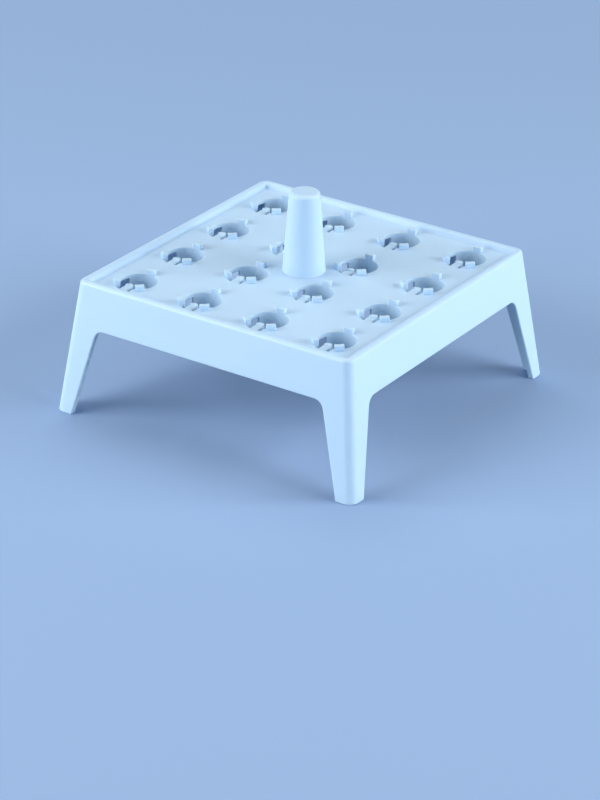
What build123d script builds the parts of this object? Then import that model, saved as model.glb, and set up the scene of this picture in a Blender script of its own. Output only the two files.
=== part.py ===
"""Sixteen-place microcentrifuge tube rack, injection moulded in one piece.

A thin square deck with a four by four grid of wells sits just below the top rim of a
drafted, open-bottomed housing.  The housing walls are cut away on all four sides, which
leaves a skirt under the rim and four L-section corner legs.  A tapered, cored post rises
from the middle of the deck as a handle.

Each well has three stand-off lugs that carry the collar of the tube, a spring finger cut
out of the deck, and a curved backing wall under the deck that the finger presses the tube
against.

Frame: millimetres, +Z up, origin on the bench below the centre of the rack.
"""
import os
from math import atan, cos, degrees, radians, sin

from build123d import *

os.makedirs("parts", exist_ok=True)

# --- wells ---
PLACES = 4               # wells along each side
PITCH = 22.0             # well to well
BORE_RADIUS = 5.45

# --- housing ---
HEIGHT = 39.4            # bench to top rim
EDGE_LAND = 4.15         # deck left between the outer wells and the rim
RIM_WIDTH = 2.4          # flat border round the recessed deck
RIM_EDGE_RADIUS = 1.0    # softened outer edge of the rim
FOOT_SPLAY = 5.0         # how far each side leans out between the rim and the bench
WALL = 1.8               # skirt and leg wall
CORNER_RADIUS = 2.6      # outside vertical corners

# --- deck ---
DECK_DROP = 1.7          # deck surface below the rim
DECK_THICKNESS = 1.2

# --- stiffening ribs under the deck, between the outer rows of wells ---
RIB_DEPTH = 1.7
RIB_THICKNESS = 1.2

# --- side openings and legs ---
SKIRT_DEPTH = 12.9       # rim to the lower edge of the skirt
FOOT_FLANGE = 5.6        # width of each leg flange at the bench
SKIRT_FLANGE = 9.3       # width of each leg flange where it meets the skirt
OPENING_RADIUS = 3.0     # rounded upper corners of the openings

# --- stand-off lugs, at these angles round a well ---
LUG_ANGLES = (90.0, -49.5, -130.5)
LUG_HEIGHT = 1.5
LUG_WIDTH = 2.6
LUG_DEPTH = 1.3          # radial thickness

# --- backing wall under the deck ---
BACKING_SPAN = 128.0     # degrees of the bore that it follows
BACKING_DROP = 3.0       # below the underside of the deck
BACKING_THICKNESS = 0.7

# --- spring finger, on the side of the well away from the backing wall ---
FINGER_WIDTH = 2.45
FINGER_THICKNESS = 0.75  # flush with the deck on top
FINGER_INTRUSION = 2.4   # how far the rounded tip stands into the bore
WINDOW_MARGIN = 1.6      # slots that free the finger run this far outside the bore
SLIT = 0.8               # narrow slot beside the finger
WIDE_SLOT_ANGLE = -117.0 # radial edge of the wide slot on its other side
NUB_HEIGHT = 0.4         # raised rounded tip above the deck

# --- handle post ---
POST_HEIGHT = 23.8       # above the deck
POST_BASE_RADIUS = 6.2
POST_TOP_RADIUS = 4.3
POST_EDGE_RADIUS = 1.1
POST_WALL = 1.8

# housing sizes that follow from the wells
top_side = (PLACES - 1) * PITCH + 2 * (BORE_RADIUS + EDGE_LAND + RIM_WIDTH)
foot_side = top_side + 2 * FOOT_SPLAY
pocket_side = top_side - 2 * RIM_WIDTH
cavity_foot = foot_side - 2 * WALL
draft = degrees(atan(FOOT_SPLAY / HEIGHT))
deck_top = HEIGHT - DECK_DROP
deck_under = deck_top - DECK_THICKNESS

# corners of a side opening
skirt_bottom = HEIGHT - SKIRT_DEPTH
skirt_side = foot_side / 2 - FOOT_SPLAY * skirt_bottom / HEIGHT
opening_foot = foot_side / 2 - FOOT_FLANGE
opening_top = skirt_side - SKIRT_FLANGE

# the sector of a well that its backing wall leaves open
backing_radius = BORE_RADIUS + BACKING_THICKNESS
reach = 2 * backing_radius
backing_end_x = reach * sin(radians(BACKING_SPAN / 2))
backing_end_y = reach * cos(radians(BACKING_SPAN / 2))
open_sector = (
    (0, 0),
    (backing_end_x, backing_end_y),
    (reach, -reach),
    (-reach, -reach),
    (-backing_end_x, backing_end_y),
)

# lug places round a well
lug_places = [
    Location((BORE_RADIUS * cos(radians(a)), BORE_RADIUS * sin(radians(a))), a)
    for a in LUG_ANGLES
]

# window round a spring finger: a radial edge on one side, a straight slit on the other
window_end = BORE_RADIUS + WINDOW_MARGIN
slit_edge = FINGER_WIDTH / 2 + SLIT
wide_slot = radians(WIDE_SLOT_ANGLE)
window = (
    (0, 0),
    (window_end * cos(wide_slot), window_end * sin(wide_slot)),
    (-FINGER_WIDTH / 2, -window_end),
    (slit_edge, -window_end),
    (slit_edge, 0),
)
tip_radius = FINGER_WIDTH / 2
tip_centre = FINGER_INTRUSION - BORE_RADIUS - tip_radius
finger_root = -window_end - FINGER_THICKNESS
finger_length = tip_centre - finger_root

# draft of the post, from the underside of the deck to its top
post_rise = DECK_THICKNESS + POST_HEIGHT
post_draft = degrees(atan((POST_BASE_RADIUS - POST_TOP_RADIUS) / post_rise))


def upright(edge):
    """True for an edge that climbs the housing."""
    return abs(edge.tangent_at(0.5).Z) > 0.5


with BuildPart() as tube_rack:
    # drafted outer block with rounded corners and a softened top edge
    with BuildSketch():
        Rectangle(foot_side, foot_side)
    extrude(amount=HEIGHT, taper=draft)
    fillet(tube_rack.edges().filter_by(upright), radius=CORNER_RADIUS)
    fillet(tube_rack.faces().sort_by(Axis.Z)[-1].edges(), radius=RIM_EDGE_RADIUS)

    # hollow underneath, parallel to the outside
    with BuildSketch():
        Rectangle(cavity_foot, cavity_foot)
    extrude(amount=deck_under, taper=draft, mode=Mode.SUBTRACT)
    fillet(tube_rack.edges(Select.LAST).filter_by(upright), radius=CORNER_RADIUS - WALL)

    # recess that leaves the rim standing round the deck
    with BuildSketch(Plane.XY.offset(deck_top)):
        Rectangle(pocket_side, pocket_side)
    extrude(amount=DECK_DROP, mode=Mode.SUBTRACT)

    # openings through all four sides
    for plane in (Plane.XZ, Plane.YZ):
        with BuildSketch(plane) as opening:
            with BuildLine():
                Polyline(
                    (-opening_foot, 0),
                    (-opening_top, skirt_bottom),
                    (opening_top, skirt_bottom),
                    (opening_foot, 0),
                    close=True,
                )
            make_face()
            fillet(opening.vertices().group_by(Axis.Y)[-1], radius=OPENING_RADIUS)
        extrude(amount=foot_side, both=True, mode=Mode.SUBTRACT)

    # bores of the wells, sharp at the mouth
    with BuildSketch(Plane.XY.offset(deck_under)):
        with GridLocations(PITCH, PITCH, PLACES, PLACES):
            Circle(BORE_RADIUS)
    extrude(amount=DECK_THICKNESS, mode=Mode.SUBTRACT)

    # stiffening ribs, from wall to wall
    with BuildSketch(Plane.XY.offset(deck_under - RIB_DEPTH)):
        with GridLocations(2 * PITCH, 0, 2, 1):
            Rectangle(RIB_THICKNESS, top_side - WALL)
    extrude(amount=RIB_DEPTH + DECK_THICKNESS / 2)

    # backing walls under the deck
    with BuildSketch(Plane.XY.offset(deck_under - BACKING_DROP)):
        with GridLocations(PITCH, PITCH, PLACES, PLACES):
            Circle(backing_radius)
            Circle(BORE_RADIUS, mode=Mode.SUBTRACT)
            Polygon(*open_sector, align=None, mode=Mode.SUBTRACT)
    extrude(amount=BACKING_DROP + DECK_THICKNESS / 2)

    # stand-off lugs
    with BuildSketch(Plane.XY.offset(deck_under)):
        with GridLocations(PITCH, PITCH, PLACES, PLACES):
            with Locations(*lug_places):
                Rectangle(2 * LUG_DEPTH, LUG_WIDTH)
            Circle(BORE_RADIUS, mode=Mode.SUBTRACT)
    extrude(amount=DECK_THICKNESS + LUG_HEIGHT)

    # windows that free the spring fingers
    with BuildSketch(Plane.XY.offset(deck_under)):
        with GridLocations(PITCH, PITCH, PLACES, PLACES):
            Polygon(*window, align=None)
    extrude(amount=DECK_THICKNESS, mode=Mode.SUBTRACT)

    # spring fingers
    with BuildSketch(Plane.XY.offset(deck_top - FINGER_THICKNESS)):
        with GridLocations(PITCH, PITCH, PLACES, PLACES):
            with Locations((0, tip_centre)):
                Rectangle(FINGER_WIDTH, finger_length, align=(Align.CENTER, Align.MAX))
    extrude(amount=FINGER_THICKNESS)

    # half-round tip of each finger, raised into a nub that grips the tube
    with BuildSketch(Plane.XY.offset(deck_top - FINGER_THICKNESS)):
        with GridLocations(PITCH, PITCH, PLACES, PLACES):
            with Locations((0, tip_centre)):
                Circle(tip_radius)
                Rectangle(FINGER_WIDTH, tip_radius, align=(Align.CENTER, Align.MAX), mode=Mode.SUBTRACT)
    extrude(amount=FINGER_THICKNESS + NUB_HEIGHT)

    # tapered handle post
    with BuildSketch(Plane.XY.offset(deck_under)):
        Circle(POST_BASE_RADIUS)
    extrude(amount=post_rise, taper=post_draft)
    fillet(tube_rack.faces().sort_by(Axis.Z)[-1].edges(), radius=POST_EDGE_RADIUS)

    # core up the inside of the post
    with BuildSketch(Plane.XY.offset(deck_under)):
        Circle(POST_BASE_RADIUS - POST_WALL)
    extrude(amount=post_rise - POST_WALL, taper=post_draft, mode=Mode.SUBTRACT)

tube_rack.part.label = "tube_rack"
export_step(tube_rack.part, "parts/tube_rack.step")

print(f"tube_rack: {len(tube_rack.solids())} solid, {tube_rack.part.volume / 1000:.2f} cm3,",
      f"{tube_rack.part.bounding_box().size}")
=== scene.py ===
# %% [markdown]
# # A moulded microcentrifuge tube rack
#
# The rack is one white plastic moulding: a square housing on four corner legs, a
# recessed deck with a grid of wells, and a tapered post to carry it by. Its form comes
# from the CAD model, which this file loads and never moves. What is left to do here is
# what the eye reads as "moulded plastic": edges that are a little round, a satin skin
# with a fine grain, light that sinks in and glows through thin walls, and a soft studio
# to see it in.

# %% Load the frame
from math import cos, radians, sin

import bmesh
import bpy
import numpy as np
from mathutils import Matrix, Vector


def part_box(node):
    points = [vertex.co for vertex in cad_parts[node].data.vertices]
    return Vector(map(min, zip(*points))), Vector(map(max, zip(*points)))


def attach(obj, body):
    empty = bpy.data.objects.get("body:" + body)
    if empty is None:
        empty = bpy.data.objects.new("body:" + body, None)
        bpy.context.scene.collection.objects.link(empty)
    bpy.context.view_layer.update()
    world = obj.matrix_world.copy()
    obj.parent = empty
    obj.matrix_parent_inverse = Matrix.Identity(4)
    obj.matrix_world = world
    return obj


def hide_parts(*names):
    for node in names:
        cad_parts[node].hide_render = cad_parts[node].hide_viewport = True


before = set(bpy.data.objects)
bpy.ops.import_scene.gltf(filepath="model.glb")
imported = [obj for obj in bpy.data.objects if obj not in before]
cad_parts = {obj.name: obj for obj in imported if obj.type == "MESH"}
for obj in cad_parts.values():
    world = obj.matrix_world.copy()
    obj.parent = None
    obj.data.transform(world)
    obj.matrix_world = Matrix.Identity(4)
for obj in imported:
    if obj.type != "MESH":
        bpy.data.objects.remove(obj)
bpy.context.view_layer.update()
low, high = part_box("tube_rack")
print("CAD box in mm:", [round(1000 * v, 1) for v in (*low, *high)])

# %% [markdown]
# ## The studio
#
# A product like this is shot on a sheet of paper that has no corner, so nothing behind
# it catches the eye. Here that sheet is one surface, whose height is a function of the
# distance from the rack. It is flat under and around the rack and climbs smoothly further
# out, so it serves from every side. A pale tint keeps the white rack readable against it.

# %% A surface from a function of two parameters
def grid_mesh(name, points):
    """Mesh of a grid of points, rows by columns by xyz; each square of neighbours is a face."""
    rows, columns = points.shape[:2]
    index = np.arange(rows * columns).reshape(rows, columns)
    left, right = index[:, :-1], index[:, 1:]
    faces = np.stack([left[:-1], right[:-1], right[1:], left[1:]], axis=-1).reshape(-1, 4)
    mesh = bpy.data.meshes.new(name)
    mesh.from_pydata(points.reshape(-1, 3).tolist(), [], faces.tolist())
    mesh.shade_smooth()
    return mesh


def add_object(name, mesh):
    """Puts a mesh into the scene as an object at the origin."""
    obj = bpy.data.objects.new(name, mesh)
    bpy.context.scene.collection.objects.link(obj)
    return obj


# %% The paper sweep
SWEEP_HALF = 2.5                  # half-width of the sheet, metres
SWEEP_CORNER = SWEEP_HALF * 1.41  # its corners, seen from the middle
SWEEP_START = 1.2                 # where the sheet starts to climb
SWEEP_RISE = 1.6                  # how high it gets
SWEEP_LINES = 61

# Height of the sheet: zero up to the start, then the square of the way to the corner.
span = np.linspace(-SWEEP_HALF, SWEEP_HALF, SWEEP_LINES)
across, back = np.meshgrid(span, span)
radius = np.hypot(across, back)
climb = np.clip((radius - SWEEP_START) / (SWEEP_CORNER - SWEEP_START), 0, 1)
sheet_points = np.stack([across, back, low.z + SWEEP_RISE * climb**2], axis=-1)
sweep = add_object("sweep", grid_mesh("sweep", sheet_points))
print("sweep:", len(sweep.data.polygons), "faces")

# %% [markdown]
# ## Shader maths as expressions
#
# A material is a network of nodes, and arithmetic made of nodes is hard to read. The
# small class below wraps a socket, so that `1 - mask * 0.2` adds the Math nodes by
# itself. Everything else goes through one method that takes a node's type, its
# settings and its inputs.

# %% Sockets with operators
class Value:
    """A socket whose arithmetic builds Math nodes."""

    def __init__(self, tree, socket):
        self.tree = tree
        self.socket = socket

    def maths(self, operation, *inputs):
        node = self.tree.nodes.new("ShaderNodeMath")
        node.operation = operation
        for slot, item in zip(node.inputs, inputs):
            if isinstance(item, Value):
                self.tree.links.new(item.socket, slot)
            else:
                slot.default_value = item
        return Value(self.tree, node.outputs[0])

    def __add__(self, other):
        return self.maths("ADD", self, other)

    def __sub__(self, other):
        return self.maths("SUBTRACT", self, other)

    def __rsub__(self, other):
        return self.maths("SUBTRACT", other, self)

    def __mul__(self, other):
        return self.maths("MULTIPLY", self, other)

    __radd__ = __add__
    __rmul__ = __mul__


class Finish:
    """A material under construction."""

    def __init__(self, name):
        self.material = bpy.data.materials.new(name)
        self.material.use_nodes = True
        self.tree = self.material.node_tree
        self.tree.nodes.clear()
        self.output = self.tree.nodes.new("ShaderNodeOutputMaterial")

    def node(self, kind, settings=None, inputs=None, output=0):
        """Adds a node, sets its settings, then fills its sockets with values or links."""
        node = self.tree.nodes.new(kind)
        for name, value in (settings or {}).items():
            setattr(node, name, value)
        for name, value in (inputs or {}).items():
            if isinstance(value, Value):
                self.tree.links.new(value.socket, node.inputs[name])
            else:
                node.inputs[name].default_value = value
        return Value(self.tree, node.outputs[output])

    def blend(self, factor, first, second):
        """Colour that goes from the first to the second as the factor goes from 0 to 1.

        A Mix node has hidden sockets for its other types: the colour ones are 6, 7 and output 2.
        """
        return self.node("ShaderNodeMix", settings={"data_type": "RGBA"}, inputs={
            0: factor, 6: first, 7: second}, output=2)

    def surface(self, shader):
        self.tree.links.new(shader.socket, self.output.inputs["Surface"])
        return self.material


# %% Colours as they look on a screen
def linear(red, green, blue):
    """Linear RGBA of a colour given as it looks on a screen, 0 to 255."""
    def decode(c):
        c /= 255
        return c / 12.92 if c <= 0.04045 else ((c + 0.055) / 1.055) ** 2.4
    return (decode(red), decode(green), decode(blue), 1.0)


# %% [markdown]
# ## Paper
#
# The sheet takes the light and throws some of it back up. Round the rack that is
# welcome, because it fills the skirts and the legs from below. Under the rack it would
# fill the wells too, and they would look shallow. So the sheet has a second, dark colour
# under the rack, which only bounced light meets. It is painted shade that keeps the wells dark.
# The camera, and whatever reflects or refracts, still sees one even pale blue.
#
# Lamps this close light the sheet unevenly: too much beside them, too little far away.
# So with distance the seen sheet trades its diffuse colour for the same colour as a
# plain glow, which gives an even backdrop from every side and lights nothing.

# %% Paper
PAPER = linear(152, 180, 218)               # as seen
BOUNCE_AROUND = linear(160, 182, 205)       # as bounced light meets it, round the rack
# Painted shade: the dark colour that bounced light meets under the rack, so the wells stay dark.
# It fades out between the two radii below.
PAINTED_SHADE_UNDER = linear(50, 66, 76)           # and under it
UNDER_RADIUS, AROUND_RADIUS = 0.045, 0.065  # metres; the dark patch fades out between these
LIT_RADIUS, GLOW_RADIUS = 0.16, 0.55        # and the lit sheet turns to glow between these
BLACK = (0.0, 0.0, 0.0, 1.0)

paper = Finish("paper")
seen = paper.node("ShaderNodeLightPath", output="Is Camera Ray")
for other in ("Is Glossy Ray", "Is Transmission Ray"):
    seen = seen.maths("MAXIMUM", seen, paper.node("ShaderNodeLightPath", output=other))
distance = paper.node("ShaderNodeVectorMath", settings={"operation": "LENGTH"}, inputs={
    0: paper.node("ShaderNodeTexCoord", output="Object")}, output="Value")
# Mask of the painted shade under the rack: 0 under it, 1 round it.
painted_shade_fade = paper.node("ShaderNodeMapRange", inputs={
    "Value": distance, "From Min": UNDER_RADIUS, "From Max": AROUND_RADIUS})
# What bounced light meets: painted shade under the rack, the pale sheet round it.
bounce_with_painted_shade = paper.blend(painted_shade_fade, PAINTED_SHADE_UNDER, BOUNCE_AROUND)
far = paper.node("ShaderNodeMapRange", settings={"interpolation_type": "SMOOTHSTEP"}, inputs={
    "Value": distance, "From Min": LIT_RADIUS, "From Max": GLOW_RADIUS})
glow = seen * far
sweep.data.materials.append(paper.surface(paper.node("ShaderNodeBsdfPrincipled", inputs={
    "Base Color": paper.blend(glow, paper.blend(seen, bounce_with_painted_shade, PAPER), BLACK),
    "Roughness": 0.85,
    "Specular IOR Level": 0.0,
    "Emission Color": paper.blend(glow, BLACK, PAPER),
    "Emission Strength": 1.0})))

# %% [markdown]
# ## The moulding
#
# The CAD mesh is loose triangles, each shaded flat. The real rack is a smooth skin: its
# post, bores and corners are round, and its deck and walls are flat right up to their
# edges. A merged copy of the mesh gives the shading something to run across. Edges over
# a chosen angle are marked sharp, and in the end a Weighted Normal modifier lets each
# large face set the direction at its border, so that a flat wall stays flat beside a
# round. The normals that came with the triangles belong to the flat shading, so they go.

# %% A merged copy that shades as one skin
CREASE_ANGLE = 32.0       # degrees
WELD_DISTANCE = 1e-6      # metres

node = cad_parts["tube_rack"]
moulding = add_object("rack_moulding", node.data.copy())
moulding.data.attributes.remove(moulding.data.attributes["custom_normal"])
shell = bmesh.new()
shell.from_mesh(moulding.data)
bmesh.ops.remove_doubles(shell, verts=shell.verts, dist=WELD_DISTANCE)
shell.to_mesh(moulding.data)
print("moulding:", len(shell.verts), "vertices,", len(shell.faces), "faces")
shell.free()
moulding.data.shade_smooth()
moulding.data.set_sharp_from_angle(angle=radians(CREASE_ANGLE))

# %% [markdown]
# ## Rounded edges
#
# A mould is cut with tools that have a radius, so the moulding has no knife edge. A Bevel
# modifier limited by weight rounds the edges that have room for it: the rim down to the
# recessed deck, the skirts and the legs. The wells and the ribs under the deck are left
# alone, because their edges come closer together than the bevel is wide. Each weight
# follows from where its edge lies.

# %% Where the edges lie
skin = moulding.data
spots = np.empty(3 * len(skin.vertices), dtype=np.float32)
skin.vertices.foreach_get("co", spots)
spots = spots.reshape(-1, 3)
ends = np.empty(2 * len(skin.edges), dtype=np.int32)
skin.edges.foreach_get("vertices", ends)
first, second = spots[ends.reshape(-1, 2)].transpose(1, 0, 2)
sharp = np.empty(len(skin.edges), dtype=bool)
skin.attributes["sharp_edge"].data.foreach_get("value", sharp)
print("moulding:", len(skin.edges), "edges,", np.count_nonzero(sharp), "of them sharp")

# %% Which edges are rounded, and how much
ROUND_WIDTH = 0.0008                 # metres, at weight 1: the recess round the deck
HOUSING_WEIGHT = 0.4                 # the skirts and the legs
RECESS_FLOOR = low.z + 0.0375        # just under the top of the deck
RECESS_SIDE = 0.0424                 # nothing of a well lies further out than this
WELL_BOTTOMS = low.z + 0.0325        # nor hangs lower than this

bottom = np.minimum(first[:, 2], second[:, 2])
top = np.maximum(first[:, 2], second[:, 2])
side = np.abs((first + second) / 2)[:, :2].max(axis=1)
is_recess = (bottom > RECESS_FLOOR) & (side > RECESS_SIDE)
is_housing = top < WELL_BOTTOMS
weights = sharp * np.where(is_recess, 1.0, np.where(is_housing, HOUSING_WEIGHT, 0.0))
skin.attributes.new("bevel_weight_edge", "FLOAT", "EDGE").data.foreach_set(
    "value", weights.astype(np.float32))
print("edges to round:", np.count_nonzero(weights))

# %% The modifiers
rounding = moulding.modifiers.new("rounded_edges", "BEVEL")
rounding.limit_method = "WEIGHT"
rounding.width = ROUND_WIDTH
rounding.segments = 3
rounding.use_clamp_overlap = False

flatten = moulding.modifiers.new("flat_walls", "WEIGHTED_NORMAL")
flatten.mode = "FACE_AREA_WITH_ANGLE"
flatten.keep_sharp = True

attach(moulding, "root")
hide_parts("tube_rack")

# %% [markdown]
# ## Satin polypropylene
#
# Polypropylene is a milky plastic: some light goes in and comes out a little way off, so
# thin fingers and lugs look soft, and shadows inside the wells are never hard. The mould
# is spark-eroded, which leaves a fine even grain. So the material has subsurface
# scattering and a noise that feeds a Bump node. A Bevel node goes before the bump: it
# turns the normal round the small edges of the wells, which have no room for real
# rounding.

# %% The skin
PLASTIC = linear(190, 220, 246)
ROUGHNESS, CLOUDINESS = 0.40, 0.12   # the mean, and how much it drifts
CLOUD_SCALE, GRAIN_SCALE = 55.0, 2600.0
GRAIN_STRENGTH, GRAIN_DEPTH = 0.12, 0.00006
EDGE_RADIUS = 0.0005                 # metres
SCATTER, SCATTER_DEPTH = 0.5, 0.0012  # share of the light that goes in, and how far, metres

plastic = Finish("satin_polypropylene")
place = plastic.node("ShaderNodeTexCoord", output="Object")
clouds = plastic.node("ShaderNodeTexNoise", inputs={
    "Vector": place, "Scale": CLOUD_SCALE, "Detail": 3.0})
grain = plastic.node("ShaderNodeTexNoise", inputs={
    "Vector": place, "Scale": GRAIN_SCALE, "Detail": 2.0})
soft_edges = plastic.node("ShaderNodeBevel", settings={"samples": 6}, inputs={
    "Radius": EDGE_RADIUS})
bump = plastic.node("ShaderNodeBump", inputs={
    "Strength": GRAIN_STRENGTH, "Distance": GRAIN_DEPTH, "Height": grain, "Normal": soft_edges})
shader = plastic.node("ShaderNodeBsdfPrincipled", inputs={
    "Base Color": PLASTIC,
    "Roughness": ROUGHNESS + (clouds - 0.5) * CLOUDINESS,
    "IOR": 1.49,
    "Subsurface Weight": SCATTER,
    "Subsurface Scale": SCATTER_DEPTH,
    "Subsurface Radius": (0.9, 1.0, 1.1),
    "Normal": bump,
})
moulding.data.materials.clear()
moulding.data.materials.append(plastic.surface(shader))

# %% [markdown]
# ## The studio lights
#
# Satin white plastic shows its form only by how bright each face is, so the light must
# differ from side to side. Two large softboxes stand far out to the left and the right of
# the camera, low enough to rake the upright faces. What faces the camera then falls
# between them and turns a little darker, which draws every corner, and gives the post a
# bright edge on each side. A third, weak one from above and behind lifts the deck. The
# world adds a little fill, so that no shadow goes black.

# %% Studio lights
LAMP_AIM = Vector((0.0, 0.0, 0.03))   # about half the height of the rack
FILL = 0.14


def softbox(name, azimuth, elevation, distance, size, power):
    """A square area lamp that faces the rack from a direction given in degrees."""
    lamp = bpy.data.lights.new(name, "AREA")
    lamp.size = size
    lamp.energy = power
    level = cos(radians(elevation))
    towards_lamp = Vector((
        level * cos(radians(azimuth)),
        level * sin(radians(azimuth)),
        sin(radians(elevation))))
    obj = bpy.data.objects.new(name, lamp)
    obj.location = LAMP_AIM + distance * towards_lamp
    obj.rotation_euler = towards_lamp.to_track_quat("Z", "Y").to_euler()
    bpy.context.scene.collection.objects.link(obj)
    print(name, "at", [round(v, 2) for v in obj.location], "metres")


softbox("right_softbox", azimuth=16.5, elevation=20.0, distance=0.95, size=0.75, power=10.8)
softbox("left_softbox", azimuth=-128.5, elevation=20.0, distance=0.95, size=0.75, power=10.3)
softbox("top_softbox", azimuth=140.0, elevation=62.0, distance=0.95, size=0.7, power=3.2)

world = bpy.data.worlds.new("studio")
world.use_nodes = True
bpy.context.scene.world = world
sky = world.node_tree.nodes["Background"]
sky.inputs["Color"].default_value = linear(235, 242, 250)
sky.inputs["Strength"].default_value = FILL

# %% [markdown]
# ## Camera
#
# A long lens from well back keeps the rows of wells nearly parallel. The camera looks
# down at one corner, so two skirts and the whole deck are seen together. It rolls a
# fraction of a degree, as a hand-set camera does.

# %% Camera
LENS = 182.8                          # millimetres, on a sensor 36 mm wide
VIEW_AZIMUTH = radians(34.075)
VIEW_ELEVATION = radians(26.481)
VIEW_ROLL = 0.0093
VIEW_DISTANCE = 0.8675
VIEW_AIM = Vector((0.00012, -0.00154, -0.00226))

towards = Vector((
    sin(VIEW_AZIMUTH) * cos(VIEW_ELEVATION),
    -cos(VIEW_AZIMUTH) * cos(VIEW_ELEVATION),
    sin(VIEW_ELEVATION)))
level_right = Vector((cos(VIEW_AZIMUTH), sin(VIEW_AZIMUTH), 0.0))
level_up = towards.cross(level_right)
right = cos(VIEW_ROLL) * level_right + sin(VIEW_ROLL) * level_up
up = cos(VIEW_ROLL) * level_up - sin(VIEW_ROLL) * level_right

lens = bpy.data.cameras.new("camera")
lens.lens = LENS
lens.sensor_width = 36.0
lens.sensor_fit = "HORIZONTAL"
lens.clip_start = 0.01
camera = bpy.data.objects.new("camera", lens)
camera.matrix_world = Matrix.Translation(VIEW_AIM + VIEW_DISTANCE * towards) @ Matrix((
    (right.x, up.x, towards.x, 0.0),
    (right.y, up.y, towards.y, 0.0),
    (right.z, up.z, towards.z, 0.0),
    (0.0, 0.0, 0.0, 1.0)))
bpy.context.scene.collection.objects.link(camera)
bpy.context.scene.camera = camera
bpy.context.scene.view_settings.view_transform = "Standard"
print("camera at", [round(v, 3) for v in camera.matrix_world.translation], "metres")
